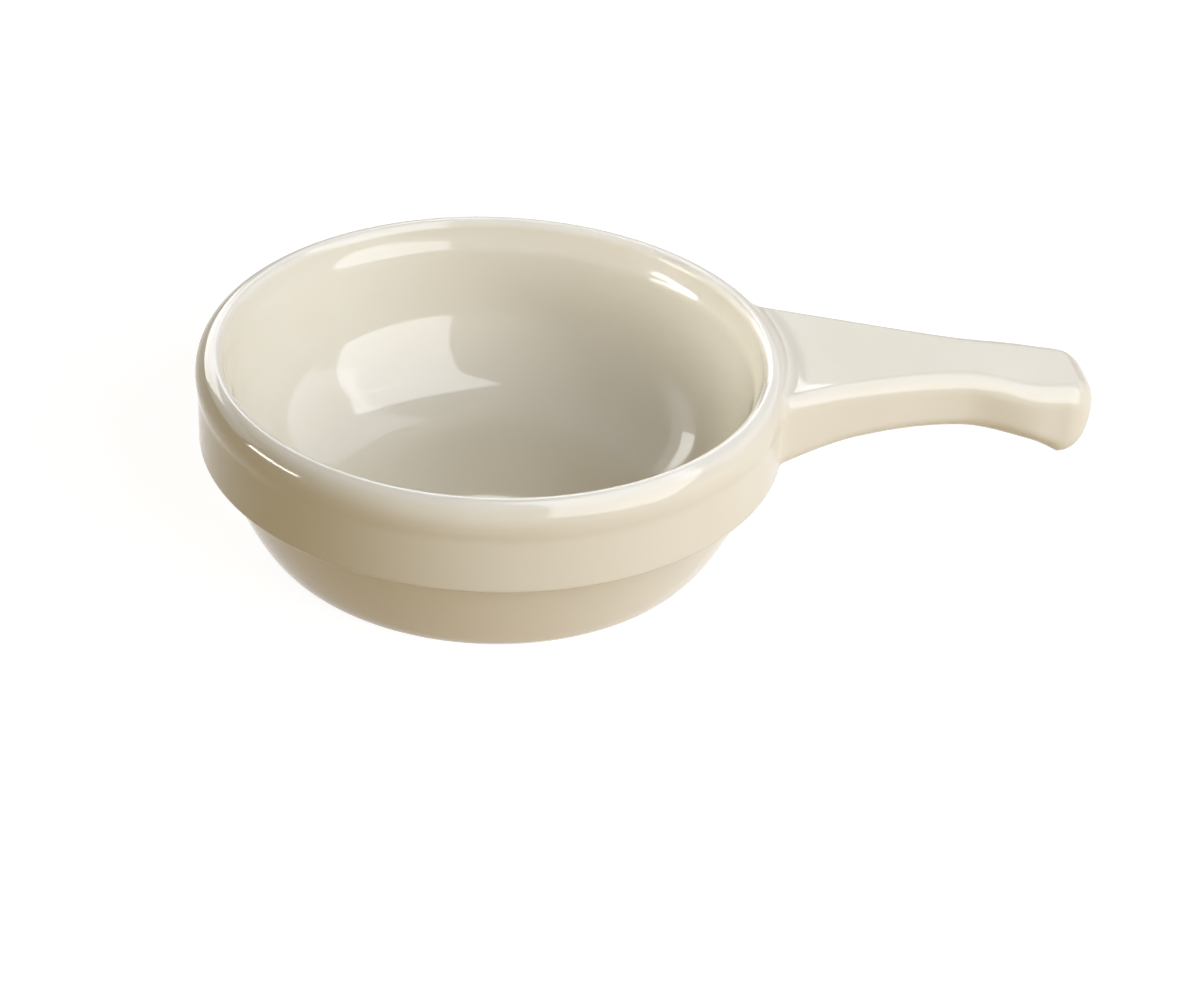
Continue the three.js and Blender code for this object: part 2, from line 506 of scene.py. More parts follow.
@dataclass(frozen=True)
class Glaze:
    """Glossy ivory glaze over a pale body, deeper in random clouds, with painted shade that deepens it and
    painted highlight that pales it along given levels.
    """

    name: str
    tone: Colour = (0.830, 0.800, 0.715)
    # Deep colour: the glaze's random deeper clouds, and also the painted shade along the shade levels.
    deep_and_painted_shade: Colour = (0.800, 0.755, 0.645)
    # Pale colour: painted highlight along the edge levels.
    painted_highlight: Colour = (0.870, 0.855, 0.805)
    roughness: Point = (0.035, 0.065)
    cloud_scale: float = 22.0
    ripple_scale: float = 130.0
    ripple_height: float = 0.000012
    ior: float = 1.52
    cloud_detail: float = 3.0
    cloud_band: Point = (0.35, 0.65)
    cloud_share: float = 0.55
    shine_band: Point = (0.3, 0.7)
    ripple_detail: float = 2.0
    line_share: float = 0.8
    side_share: float = 2.0

    def material(self, shade_lines: list[PaintedLightLine], edges: list[PaintedLightLine]) -> bpy.types.Material:
        """Makes the glaze as a node material on object coordinates.

        Args:
            shade_lines: Levels where painted shade deepens the colour.
            edges: Levels where painted highlight pales the colour.

        Returns:
            The material.
        """
        made = bpy.data.materials.new(self.name)
        made.use_nodes = True
        tree = NodeTree(made)
        place = tree.add("ShaderNodeTexCoord").outputs["Object"]
        height = tree.add("ShaderNodeSeparateXYZ", Vector=place).outputs["Z"]
        cloud = tree.noise(place, self.cloud_scale, self.cloud_detail)
        colour = tree.mix(tree.ramp(cloud, *self.cloud_band, 0.0, self.cloud_share), self.tone, self.deep_and_painted_shade)
        # Painted shade: a deeper colour along each shade level.
        for line in shade_lines:
            colour = tree.mix(self._share(tree, place, height, line), colour, self.deep_and_painted_shade)
        # Painted highlight: a paler colour along each edge level.
        for line in edges:
            colour = tree.mix(self._share(tree, place, height, line), colour, self.painted_highlight)
        skin = tree.noise(place, self.ripple_scale, self.ripple_detail)
        shine = tree.ramp(cloud, *self.shine_band, *self.roughness)
        bump = tree.add("ShaderNodeBump", Height=skin, Strength=1.0, Distance=self.ripple_height)
        shader = tree.shader()
        shader.inputs["IOR"].default_value = self.ior
        tree.join(colour, shader.inputs["Base Color"])
        tree.join(shine, shader.inputs["Roughness"])
        tree.join(bump.outputs["Normal"], shader.inputs["Normal"])
        return made

    def _share(
        self, tree: NodeTree, place: bpy.types.NodeSocket, height: bpy.types.NodeSocket, line: PaintedLightLine
    ) -> bpy.types.NodeSocket:
        """A mask along a level of the glaze, for painted shade and painted highlight.

        Args:
            tree: The material's nodes.
            place: The object coordinates.
            height: The height.
            line: The line.

        Returns:
            The mask's socket.
        """
        flat = tree.add("ShaderNodeVectorMath")
        flat.operation = "MULTIPLY"
        tree.join(place, flat.inputs[0])
        flat.inputs[1].default_value = (1.0, 1.0, 0.0)
        length = tree.add("ShaderNodeVectorMath")
        length.operation = "LENGTH"
        tree.join(flat.outputs["Vector"], length.inputs[0])
        middle = (line.radius_from + line.radius_to) / 2
        half = (line.radius_to - line.radius_from) / 2
        beside = tree.near(length.outputs["Value"], middle, half, self.side_share)
        share = tree.sum_up("MULTIPLY", tree.near(height, line.height, line.reach, self.line_share), beside)
        share.node.use_clamp = True
        return share


@dataclass(frozen=True)
class BareFoot:
    """The dry ring of fired clay that the bowl stands on."""

    name: str = "bare_foot_clay"
    pale: Colour = (0.72, 0.66, 0.55)
    dark: Colour = (0.58, 0.50, 0.38)
    grain_scale: float = 900.0
    grain_detail: float = 4.0
    tone_band: Point = (0.3, 0.7)
    shine_band: Point = (0.2, 0.8)
    roughness: Point = (0.7, 0.9)
    grain_strength: float = 0.6
    grain_height: float = 0.00005

    def material(self) -> bpy.types.Material:
        """Makes the clay as a node material on object coordinates.

        Returns:
            The material.
        """
        made = bpy.data.materials.new(self.name)
        made.use_nodes = True
        tree = NodeTree(made)
        place = tree.add("ShaderNodeTexCoord").outputs["Object"]
        grain = tree.noise(place, self.grain_scale, self.grain_detail)
        shader = tree.shader()
        share = tree.ramp(grain, *self.tone_band, 0.0, 1.0)
        tree.join(tree.mix(share, self.pale, self.dark), shader.inputs["Base Color"])
        tree.join(tree.ramp(grain, *self.shine_band, *self.roughness), shader.inputs["Roughness"])
        bump = tree.add(
            "ShaderNodeBump", Height=grain, Strength=self.grain_strength, Distance=self.grain_height
        )
        tree.join(bump.outputs["Normal"], shader.inputs["Normal"])
        return made


@dataclass
class Bowl:
    """The formed bowl: rounded lip, rim bead, upright band, step and rounded lower wall."""

    rim_radius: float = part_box(Node.BOWL.value)[1].x / MM
    height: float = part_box(Node.BOWL.value)[1].z / MM
    lip_outer_round: float = 4.0
    bead_drop: float = 4.7
    bead_fade: float = 4.6
    bead_proud: float = 0.4
    band_height: float = 20.4
    band_edge_round: float = 0.8
    step_depth: float = 3.0
    step_fillet: float = 0.9
    base_radius: float = 48.8
    heel_reach: float = 4.1
    heel_rise: float = 2.4
    foot_width: float = 4.2
    foot_round: float = 0.5
    base_hollow: float = 0.8
    lip_inner_round: float = 1.8
    neck_drop: float = 2.2
    seat_drop: float = 5.4
    seat_reach: float = 1.15
    seat_lean: float = 27.0
    seat_foot_drop: float = 8.8
    seat_foot_reach: float = 2.0
    wall: float = 6.0
    crease_round: float = 3.2
    turn_radius: float = 45.9
    floor_thickness: float = 5.0
    floor_radius: float = 16.0
    hollow_slope: float = 2.0
    lip_inner_end: float = 168.0
    foot_level: float = 0.1
    # Reaches of the painted shade in the step under the band and on the inner floor.
    step_shade_reach: float = 1.3
    floor_shade_reach: float = 2.0
    # Reach of the painted highlight on the lip's top.
    lip_highlight_reach: float = 1.5
    sharp_edge: float = 50.0
    turn_steps: int = 288
    edge_steps: int = 8
    straight_steps: int = 10
    bead_steps: int = 12
    lip_steps: int = 18
    heel_steps: int = 5
    foot_steps: int = 3
    wall_steps: int = 40
    inner_lip_steps: int = 26
    shoulder_steps: int = 22
    upper_wall_steps: int = 12
    crease_steps: int = 10
    floor_curve_steps: int = 44

    def __post_init__(self) -> None:
        """Works out the radii and heights that follow from the sizes."""
        self.band_radius = self.rim_radius - self.bead_proud
        self.step_height = self.height - self.band_height
        self.waist_radius = self.band_radius - self.step_depth
        self.lip_radius = self.rim_radius - self.lip_outer_round
        self.bead_height = self.height - self.bead_drop
        self.outside = self.band_profile()
        self.lengths = [0.0]
        for a, b in zip(self.outside, self.outside[1:]):
            self.lengths.append(self.lengths[-1] + math.dist(a, b))

    def band_profile(self) -> list[Point]:
        """Outer profile from the band's lower edge up to the lip's highest ring.

        Returns:
            The points, radius and height.
        """
        edge = (self.band_radius - self.band_edge_round, self.step_height + self.band_edge_round)
        foot = self.bead_height - self.bead_fade
        middle = (self.bead_height + foot) / 2
        path = Curves.ellipse(edge, (self.band_edge_round, self.band_edge_round), -90, 0, self.edge_steps)
        path += Curves.line(path[-1], (self.band_radius, foot), self.straight_steps)[1:]
        path += Curves.bezier(
            [
                (self.band_radius, foot),
                (self.band_radius, middle),
                (self.rim_radius, middle),
                (self.rim_radius, self.bead_height),
            ],
            self.bead_steps,
        )[1:]
        lip = (self.lip_outer_round, self.bead_drop)
        path += Curves.ellipse((self.lip_radius, self.bead_height), lip, 0, 90, self.lip_steps)[1:]
        return path

    def lower_profile(self) -> list[Point]:
        """Outer profile from the middle of the base up to the step under the band.

        Returns:
            The points, radius and height.
        """
        heel = (self.base_radius, 0.0)
        turn = (self.base_radius + self.heel_reach, self.heel_rise)
        waist = (self.waist_radius, self.step_height)
        ring = self.base_radius - self.foot_width
        wall = Curves.bezier([heel, turn, waist], self.wall_steps)
        start = next(p for p in wall if math.dist(p, heel) > self.foot_round)
        stop = next(p for p in reversed(wall) if math.dist(p, waist) > self.step_fillet)
        path = [(x, self.base_hollow) for x in (0.0, ring / 2, ring - self.hollow_slope)]
        slope = ring - self.hollow_slope / 2
        path += Curves.bezier(
            [path[-1], (slope, self.base_hollow), (slope, 0.0), (ring, 0.0)], self.edge_steps
        )[1:]
        path += Curves.line((ring, 0.0), (self.base_radius - self.foot_round, 0.0), self.foot_steps)[1:]
        path += Curves.bezier([path[-1], heel, start], self.heel_steps)[1:]
        path += [p for p in wall if start[1] < p[1] < stop[1]]
        ledge = (self.waist_radius + self.step_fillet, self.step_height)
        path += Curves.bezier([stop, waist, ledge], self.edge_steps)
        return path

    def inner_profile(self) -> list[Point]:
        """Inner profile from the lip's highest ring down to the middle of the floor.

        Returns:
            The points, radius and height.
        """
        mouth = self.lip_radius - self.lip_inner_round
        neck = (mouth, self.height - self.neck_drop)
        seat = (mouth - self.seat_reach, self.height - self.seat_drop)
        seat_foot = (mouth - self.seat_foot_reach, self.height - self.seat_foot_drop)
        crease = (self.waist_radius - self.wall, self.step_height)
        turn = (self.turn_radius, self.floor_thickness)
        floor = (self.floor_radius, self.floor_thickness)
        above = Curves.towards(crease, seat_foot, self.crease_round)
        below = Curves.towards(crease, turn, self.crease_round)
        lip = (self.lip_inner_round, self.neck_drop)
        path = Curves.ellipse(
            (self.lip_radius, neck[1]), lip, 90, self.lip_inner_end, self.inner_lip_steps
        )[1:]
        path += self._seat_curve(path[-2], path[-1], seat, seat_foot, above)
        path += Curves.line(seat_foot, above, self.upper_wall_steps)[1:]
        path += Curves.bezier([above, crease, below], self.crease_steps)[1:]
        path += Curves.bezier([below, turn, floor], self.floor_curve_steps)[1:]
        path += Curves.line(floor, (0.0, self.floor_thickness), self.straight_steps)[1:]
        return path

    def _seat_curve(self, before: Point, start: Point, seat: Point, foot: Point, wall: Point) -> list[Point]:
        """The soft shoulder inside the lip, which leans in most half way down.

        Args:
            before: The point before the start, for the direction there.
            start: Where the lip's round ends.
            seat: The middle of the shoulder.
            foot: Where the shoulder ends in the wall.
            wall: A point further down the wall.

        Returns:
            The points, without the start.
        """
        reach = math.dist(start, seat) / 3
        into = (start[0] + (start[0] - before[0]), start[1] + (start[1] - before[1]))
        lean = math.radians(self.seat_lean)
        dip = (math.sin(lean), math.cos(lean))
        upper = [
            start,
            Curves.towards(start, into, reach),
            (seat[0] + dip[0] * reach, seat[1] + dip[1] * reach),
            seat,
        ]
        lower = [
            seat,
            (seat[0] - dip[0] * reach, seat[1] - dip[1] * reach),
            Curves.towards(foot, wall, -reach),
            foot,
        ]
        steps = self.shoulder_steps
        return Curves.bezier(upper, steps)[1:] + Curves.bezier(lower, steps)[1:]

    def surface(self, bearing: float, along: float, grow: float = 0.0) -> Vector:
        """A point of the outer face above the step.

        Args:
            bearing: The angle round the axis from +X in radians.
            along: The length up the profile from the band's lower edge.
            grow: How far outside the face.

        Returns:
            The point in millimetres.
        """
        radius, height, normal = self.profile_at(along)
        radius += grow * normal[0]
        return Vector((radius * math.cos(bearing), radius * math.sin(bearing), height + grow * normal[1]))

    def surface_normal(self, bearing: float, along: float) -> Vector:
        """The direction straight out of the outer face.

        Args:
            bearing: The angle round the axis from +X in radians.
            along: The length up the profile from the band's lower edge.

        Returns:
            The unit direction.
        """
        normal = self.profile_at(along)[2]
        return Vector((normal[0] * math.cos(bearing), normal[0] * math.sin(bearing), normal[1]))

    def profile_at(self, along: float) -> tuple[float, float, Point]:
        """Radius, height and normal of the outer profile.

        Args:
            along: The length up the profile from the band's lower edge.

        Returns:
            The radius, the height and the outward normal in the profile's plane.
        """
        last = len(self.lengths) - 2
        k = min(max(sum(along >= x for x in self.lengths) - 1, 0), last)
        share = (along - self.lengths[k]) / (self.lengths[k + 1] - self.lengths[k])
        a, b = self.outside[k], self.outside[k + 1]
        before = self.outside[max(k - 1, 0)]
        after = self.outside[min(k + 2, last + 1)]
        first = self._across(before, b)
        second = self._across(a, after)
        blend = (first[0] * (1 - share) + second[0] * share, first[1] * (1 - share) + second[1] * share)
        size = math.hypot(*blend)
        return (
            a[0] + (b[0] - a[0]) * share,
            a[1] + (b[1] - a[1]) * share,
            (blend[0] / size, blend[1] / size),
        )

    @staticmethod
    def _across(a: Point, b: Point) -> Point:
        """The unit direction to the right of the way from one point to another.

        Args:
            a: Where the way begins.
            b: Where it ends.

        Returns:
            The direction.
        """
        size = math.dist(a, b)
        return ((b[1] - a[1]) / size, (a[0] - b[0]) / size)

    def along_at(self, height: float) -> float:
        """The length up the outer profile at a height above the step.

        Args:
            height: The height in millimetres.

        Returns:
            The length from the band's lower edge.
        """
        top = len(self.outside) - 2
        k = min(max(sum(height >= p[1] for p in self.outside) - 1, 0), top)
        a, b = self.outside[k], self.outside[k + 1]
        share = (height - a[1]) / max(b[1] - a[1], 1e-9)
        return self.lengths[k] + share * (self.lengths[k + 1] - self.lengths[k])

    def build(self) -> bpy.types.Object:
        """Turns the bowl as one closed form.

        Returns:
            The bowl.
        """
        profile = self.lower_profile() + self.outside + self.inner_profile()
        piece = Bench.turn_profile("turned_bowl", profile, self.turn_steps)
        Bench.smooth(piece, self.sharp_edge)
        return piece

    def dress(self, piece: bpy.types.Object) -> None:
        """Glazes the bowl with painted shade in the step and on the floor and painted highlight on the lip,
        and leaves its foot ring dry.

        Args:
            piece: The bowl.
        """
        glaze = Glaze("ivory_glaze_bowl")
        wall = self.waist_radius - self.wall / 2
        # Painted shade: a deeper colour in the step under the band and on the inner floor.
        shade_lines = [
            PaintedLightLine(self.step_height, self.step_shade_reach, wall, 2 * self.rim_radius - wall),
            PaintedLightLine(self.floor_thickness, self.floor_shade_reach, -wall, wall),
        ]
        # Painted highlight: a paler colour on the lip's top.
        edges = [PaintedLightLine(self.height, self.lip_highlight_reach)]
        piece.data.materials.append(glaze.material(shade_lines, edges))
        piece.data.materials.append(BareFoot().material())
        outer = self.base_radius * MM
        inner = (self.base_radius - self.foot_width) * MM
        for face in piece.data.polygons:
            radius = math.hypot(face.center.x, face.center.y)
            if face.center.z < self.foot_level * MM and inner < radius < outer:
                face.material_index = 1


@dataclass
class Handle:
    """The stub handle: a flat bar that narrows to a waist, swells again and droops at its tip."""

    bowl: Bowl
    shoulder_out: float = 14.3
    waist_out: float = 38.2
    swell_out: float = 53.2
    chin_out: float = 60.5
    tip_out: float = 68.38
    saddle_width: float = 44.0
    shoulder_width: float = 31.8
    waist_width: float = 21.1
    swell_width: float = 24.0
    tip_width: float = 22.7
    tip_corner_round: float = 7.6
    saddle_drop: float = 1.9
    shoulder_drop: float = 2.2
    waist_drop: float = 3.8
    swell_drop: float = 6.4
    chin_drop: float = 7.2
    tip_drop: float = 7.8
    saddle_depth: float = 16.7
    shoulder_depth: float = 13.6
    waist_depth: float = 13.1
    swell_depth: float = 13.7
    chin_depth: float = 16.8
    tip_round: float = 4.6
    tip_blunt: float = 0.6
    end_fullness: float = 2.5
    root_edge: float = 3.0
    waist_edge: float = 3.8
    tip_edge: float = 4.6
    slip_thickness: float = 0.5
    corner_steps: int = 9
    top_steps: int = 16
    side_steps: int = 10
    neck_rings: int = 64
    end_rings: int = 18
    saddle_shares: Point = (0.25, 0.6)
    root_share: float = 1 / 3
    search_reach: float = 8.0
    search_rounds: int = 26
    sharp_edge: float = 60.0

    def __post_init__(self) -> None:
        """Lays the smooth lines through the stations."""
        rim = self.bowl.rim_radius
        self.saddle = math.sqrt(rim**2 - (self.saddle_width / 2) ** 2)
        self.chin = rim + self.chin_out
        self.tip = rim + self.tip_out
        outs = [rim + x for x in (self.shoulder_out, self.waist_out, self.swell_out)]
        stations = [self.saddle, *outs, self.chin, self.tip]
        widths = (self.saddle_width, self.shoulder_width, self.waist_width, self.swell_width)
        drops = (self.saddle_drop, self.shoulder_drop, self.waist_drop, self.swell_drop)
        depths = (self.saddle_depth, self.shoulder_depth, self.waist_depth, self.swell_depth)
        places = [self.saddle, rim + self.waist_out, self.tip]
        self.width_at = SmoothLine(stations, [*widths, self.tip_width, self.tip_width])
        self.drop_at = SmoothLine(stations, [*drops, self.chin_drop, self.tip_drop])
        self.depth_at = SmoothLine(stations[:-1], [*depths, self.chin_depth])
        self.edge_at = SmoothLine(places, [self.root_edge, self.waist_edge, self.tip_edge])

    def top_at(self, reach: float) -> float:
        """Height of the flat top, rounded over at the tip.

        Args:
            reach: The distance from the bowl's axis.

        Returns:
            The height in millimetres.
        """
        past = min(max(reach - (self.tip - self.tip_round), 0.0), self.tip_round)
        nose = self.tip_round - math.sqrt(self.tip_round**2 - past**2)
        return self.bowl.height - self.drop_at(reach) - nose

    def underside_at(self, reach: float) -> float:
        """Height of the underside: the arch up to the chin, then the slanted end face.

        Args:
            reach: The distance from the bowl's axis.

        Returns:
            The height in millimetres.
        """
        if reach <= self.chin:
            return self.bowl.height - self.drop_at(reach) - self.depth_at(reach)
        lowest = self.bowl.height - self.chin_drop - self.chin_depth
        highest = self.bowl.height - self.tip_drop - self.tip_round - self.tip_blunt
        along = min(1.0, (reach - self.chin) / (self.tip - self.chin))
        rise = 1 - (1 - along**self.end_fullness) ** (1 / self.end_fullness)
        return lowest + (highest - lowest) * rise

    def section(self, reach: float) -> list[tuple[Vector, Point]]:
        """One section, a rectangle with round corners.

        Args:
            reach: The distance from the bowl's axis.

        Returns:
            The points in millimetres, each with the section's outward direction in Y and Z.
        """
        past = min(max(reach - (self.tip - self.tip_corner_round), 0.0), self.tip_corner_round)
        inset = self.tip_corner_round - math.sqrt(self.tip_corner_round**2 - past**2)
        half = self.width_at(reach) / 2 - inset
        top = self.top_at(reach)
        bottom = self.underside_at(reach)
        edge = min(self.edge_at(reach), (top - bottom) / 2, half)
        corners = [
            (half - edge, top - edge),
            (edge - half, top - edge),
            (edge - half, bottom + edge),
            (half - edge, bottom + edge),
        ]
        ring = []
        for quarter, (y, z) in enumerate(corners):
            for step in range(self.corner_steps + 1):
                angle = (quarter + step / self.corner_steps) * math.pi / 2
                out = (math.cos(angle), math.sin(angle))
                ring.append((Vector((reach, y + edge * out[0], z + edge * out[1])), out))
            following = corners[(quarter + 1) % 4]
            steps = self.side_steps if quarter % 2 else self.top_steps
            out = (math.cos((quarter + 1) * math.pi / 2), math.sin((quarter + 1) * math.pi / 2))
            for y2, z2 in Curves.line((y, z), following, steps)[1:-1]:
                ring.append((Vector((reach, y2 + edge * out[0], z2 + edge * out[1])), out))
        return ring

    def rail(self, place: int, reach: float) -> Vector:
        """A point of one of the lines that run along the handle.

        Args:
            place: The line's place in the section.
            reach: The distance from the bowl's axis.

        Returns:
            The point in millimetres.
        """
        return self.section(reach)[place][0]

    def meeting(self, place: int, grow: float) -> float:
        """Where one of the handle's lines meets the bowl's outer face.

        Args:
            place: The line's place in the section.
            grow: How far outside the face.

        Returns:
            The distance from the bowl's axis along the handle.
        """
        low, high = self.saddle - self.search_reach, self.bowl.rim_radius + self.search_reach
        for _ in range(self.search_rounds):
            middle = (low + high) / 2
            point = self.rail(place, middle)
            radius = self.bowl.profile_at(self.bowl.along_at(point.z))[0] + grow
            if math.hypot(point.x, point.y) > radius:
                high = middle
            else:
                low = middle
        return (low + high) / 2

    def build(self, root: list[float]) -> bpy.types.Object:
        """Draws the handle out from its saddle to its tip.

        Args:
            root: For each line along the handle, where its open stretch begins.

        Returns:
            The handle.
        """
        count = len(root)
        saddle = [self.meeting(k, self.slip_thickness) for k in range(count)]
        seat = [self.rail(k, saddle[k]) for k in range(count)]
        middle = sum(seat, Vector()) / count
        rings = [[middle.lerp(p, share) for p in seat] for share in self.saddle_shares] + [seat]
        first = max(root)
        for step in range(self.neck_rings):
            reach = first + (self.chin - first) * step / self.neck_rings
            ease = min(1.0, step / (self.neck_rings * self.root_share))
            pull = 1 - ease * ease * (3 - 2 * ease)
            rings.append([self.rail(k, reach + (root[k] - first) * pull) for k in range(count)])
        for step in range(self.end_rings):
            ease = math.sin(step / self.end_rings * math.pi / 2)
            rings.append([p for p, _ in self.section(self.chin + (self.tip - self.chin) * ease)])
        rings.append([p for p, _ in self.section(self.tip)])
        piece = Bench.draw_rings("stub_handle", rings)
        Bench.smooth(piece, self.sharp_edge)
        return piece

    def dress(self, piece: bpy.types.Object) -> None:
        """Glazes the handle.

        Args:
            piece: The handle.
        """
        piece.data.materials.append(Glaze("ivory_glaze_handle").material([], []))


@dataclass
class SlipFillet:
    """The slip that joins the handle's saddle to the bowl, wiped round into a soft fillet."""

    bowl: Bowl
    handle: Handle
    top_run: float = 2.6
    side_run: float = 2.0
    under_run: float = 1.0
    top_climb: float = 1.4
    side_climb: float = 1.8
    under_climb: float = 0.6
    sink: float = 0.015
    rounds: int = 20
    look_back: float = 0.05
    face_shares: Place = (0.8, 0.45, 0.15)
    shading_fade: Point = (1.0, 0.5)

    def __post_init__(self) -> None:
        """Finds where the handle's lines meet the bowl and where the fillet begins and ends."""
        ring = self.handle.section(self.bowl.rim_radius)
        self.count = len(ring)
        meets = [self.handle.meeting(k, 0.0) for k in range(self.count)]
        points = [self.handle.rail(k, x) for k, x in enumerate(meets)]
        self.spots = [(math.atan2(p.y, p.x), self.bowl.along_at(p.z)) for p in points]
        self.root = []
        self.ends = []
        for k, (_, out) in enumerate(ring):
            run = self._blend(out, self.top_run, self.side_run, self.under_run)
            climb = self._blend(out, self.top_climb, self.side_climb, self.under_climb)
            self.root.append(meets[k] + run)
            self.ends.append(self._spread(k, climb))

    @staticmethod
    def _blend(out: Point, top: float, side: float, under: float) -> float:
        """A size between those of the top, the sides and the underside.

        Args:
            out: The section's outward direction in Y and Z.
            top: The size on the top.
            side: The size on the sides.
            under: The size on the underside.

        Returns:
            The size in that direction.
        """
        return side * out[0] ** 2 + (top if out[1] > 0 else under) * out[1] ** 2

    def _spread(self, place: int, distance: float) -> Point:
        """A spot on the bowl's face beside the line where the handle meets it.

        Args:
            place: The place in the handle's section.
            distance: How far from that line.

        Returns:
            The bearing in radians and the length up the profile.
        """
        radius = self.bowl.band_radius
        before = self.spots[place - 1]
        after = self.spots[(place + 1) % self.count]
        way = ((after[0] - before[0]) * radius, after[1] - before[1])
        size = math.hypot(*way)
        bearing, along = self.spots[place]
        return (bearing + way[1] / size * distance / radius, along - way[0] / size * distance)

    def curve(self, place: int) -> list[Vector]:
        """The fillet's round from the handle to the bowl at one place.

        Args:
            place: The place in the handle's section.

        Returns:
            The points in millimetres.
        """
        begin = self.handle.rail(place, self.root[place])
        inward = (self.handle.rail(place, self.root[place] - self.look_back) - begin).normalized()
        bearing, along = self.ends[place]
        end = self.bowl.surface(bearing, along, -self.sink)
        normal = self.bowl.surface_normal(bearing, along)
        corner = begin + inward * ((end - begin).dot(normal) / inward.dot(normal))
        shares = [k / self.rounds for k in range(self.rounds + 1)]
        return [begin * (1 - s) ** 2 + corner * (2 * s * (1 - s)) + end * s * s for s in shares]

    def build(self, bowl: bpy.types.Object, handle: bpy.types.Object) -> bpy.types.Object:
        """Draws the slip: its pad against the saddle, the fillet, and the face against the bowl.

        Args:
            bowl: The bowl that the fillet runs into.
            handle: The handle that it runs into.

        Returns:
            The slip.
        """
        gap = self.handle.slip_thickness
        saddle = [self.handle.rail(k, self.handle.meeting(k, gap)) for k in range(self.count)]
        middle = sum(saddle, Vector()) / self.count
        rings = [[middle.lerp(p, share) for p in saddle] for share in self.handle.saddle_shares] + [saddle]
        before = len(rings) * self.count
        curves = [self.curve(k) for k in range(self.count)]
        rings += [[curve[step] for curve in curves] for step in range(self.rounds + 1)]
        centre = (0.0, sum(along for _, along in self.ends) / self.count)
        for share in self.face_shares:
            spots = [(b * share, centre[1] + (a - centre[1]) * share) for b, a in self.ends]
            rings.append([self.bowl.surface(b, a, -self.sink) for b, a in spots])
        piece = Bench.draw_rings("slip_fillet", rings)
        Bench.smooth(piece, self.handle.sharp_edge)
        self._match_shading(piece, bowl, handle, before)
        return piece

    def _match_shading(
        self, piece: bpy.types.Object, bowl: bpy.types.Object, handle: bpy.types.Object, before: int
    ) -> None:
        """Lets both edges of the fillet take the shading of the surfaces that they run into.

        Args:
            piece: The slip.
            bowl: The bowl.
            handle: The handle.
            before: How many vertices come before the fillet's first ring.
        """
        edges = {"into_handle": (handle, 0, 1), "into_bowl": (bowl, self.rounds, -1)}
        for name, (source, ring, step) in edges.items():
            group = piece.vertex_groups.new(name=name)
            for k, weight in enumerate(self.shading_fade):
                first = before + (ring + k * step) * self.count
                group.add(list(range(first, first + self.count)), weight, "REPLACE")
            Bench.borrow_normals(piece, source, name)

    def dress(self, piece: bpy.types.Object) -> None:
        """Glazes the slip like the rest.

        Args:
            piece: The slip.
        """
        piece.data.materials.append(Glaze("ivory_glaze_fillet").material([], []))


@dataclass(frozen=True)
class PhotoCamera:
    """The camera at the photograph's angle."""

    focal_pixels: float = 3000.0
    sensor_width: float = 36.0
    distance: float = 641.9
    target_height: float = 42.53
    bearing: float = -6.0
    elevation: float = 29.955
    pan: float = -2.1122
    tilt: float = 2.8902
    roll: float = 1.9817
    nearest: float = 0.01

    def build(self) -> None:
        """Places the camera and makes it the scene's own."""
        rise = math.radians(self.elevation)
        spot = Vector((0, -math.cos(rise), math.sin(rise))) * self.distance
        spot.z += self.target_height
        right = Vector((1, 0, 0))
        down = Vector((0, -math.sin(rise), -math.cos(rise)))
        ahead = Vector((0, math.cos(rise), -math.sin(rise)))
        level = Matrix((right, down, ahead))
        aim = (
            Matrix.Rotation(math.radians(self.roll), 3, "Z")
            @ Matrix.Rotation(math.radians(self.tilt), 3, "X")
            @ Matrix.Rotation(math.radians(self.pan), 3, "Y")
            @ level
        )
        turn = Matrix.Rotation(math.radians(self.bearing), 3, "Z")
        aim = aim @ turn.transposed()
        pose = Matrix((aim[0], -aim[1], -aim[2])).transposed().to_4x4()
        pose.translation = turn @ spot * MM
        Bench.clear_selection()
        bpy.ops.object.camera_add()
        camera = bpy.context.object
        camera.name = "photo_camera"
        camera.matrix_world = pose
        camera.data.sensor_width = self.sensor_width
        camera.data.lens = self.focal_pixels / PHOTO_WIDTH * self.sensor_width
        camera.data.clip_start = self.nearest
        bpy.context.scene.camera = camera


class LampKind(Enum):
    """What a lamp gives: all of its light, only its highlight, or only its soft fill."""

    FULL = "full"
    SPARKLE = "sparkle"
    FILL = "fill"


@dataclass(frozen=True)
class Softbox:
    """A flat soft lamp that faces the bowl."""

    name: str
    bearing: float
    elevation: float
    distance: float
    width: float
    height: float
    radiance: float
    colour: Colour = (1.0, 1.0, 1.0)
    kind: LampKind = LampKind.FULL
    lean: float = 0.0
    lift: float = 0.0
    aim: Place = (0.0, 0.0, 0.0)
    spread: float = 180.0

    def build(self) -> None:
        """Hangs the lamp and turns it to what it aims at."""
        rise, turn, lean = (math.radians(x) for x in (self.elevation, self.bearing, self.lean))
        way = Vector((math.cos(rise) * math.cos(turn), math.cos(rise) * math.sin(turn), math.sin(rise)))
        side = Vector((0, math.sin(lean), math.cos(lean))).cross(way).normalized()
        upright = way.cross(side)
        pose = Matrix((side, upright, way)).transposed().to_4x4()
        pose.translation = Vector(self.aim) + way * self.distance + upright * self.lift
        Bench.clear_selection()
        bpy.ops.object.light_add(type="AREA")
        lamp = bpy.context.object
        lamp.name = self.name
        lamp.matrix_world = pose
        lamp.data.shape = "RECTANGLE"
        lamp.data.size = self.width
        lamp.data.size_y = self.height
        lamp.data.energy = self.radiance * math.pi * self.width * self.height
        lamp.data.color = self.colour
        lamp.data.spread = math.radians(self.spread)
        lamp.visible_camera = False
        lamp.visible_diffuse = self.kind is not LampKind.SPARKLE
        lamp.visible_glossy = self.kind is not LampKind.FILL


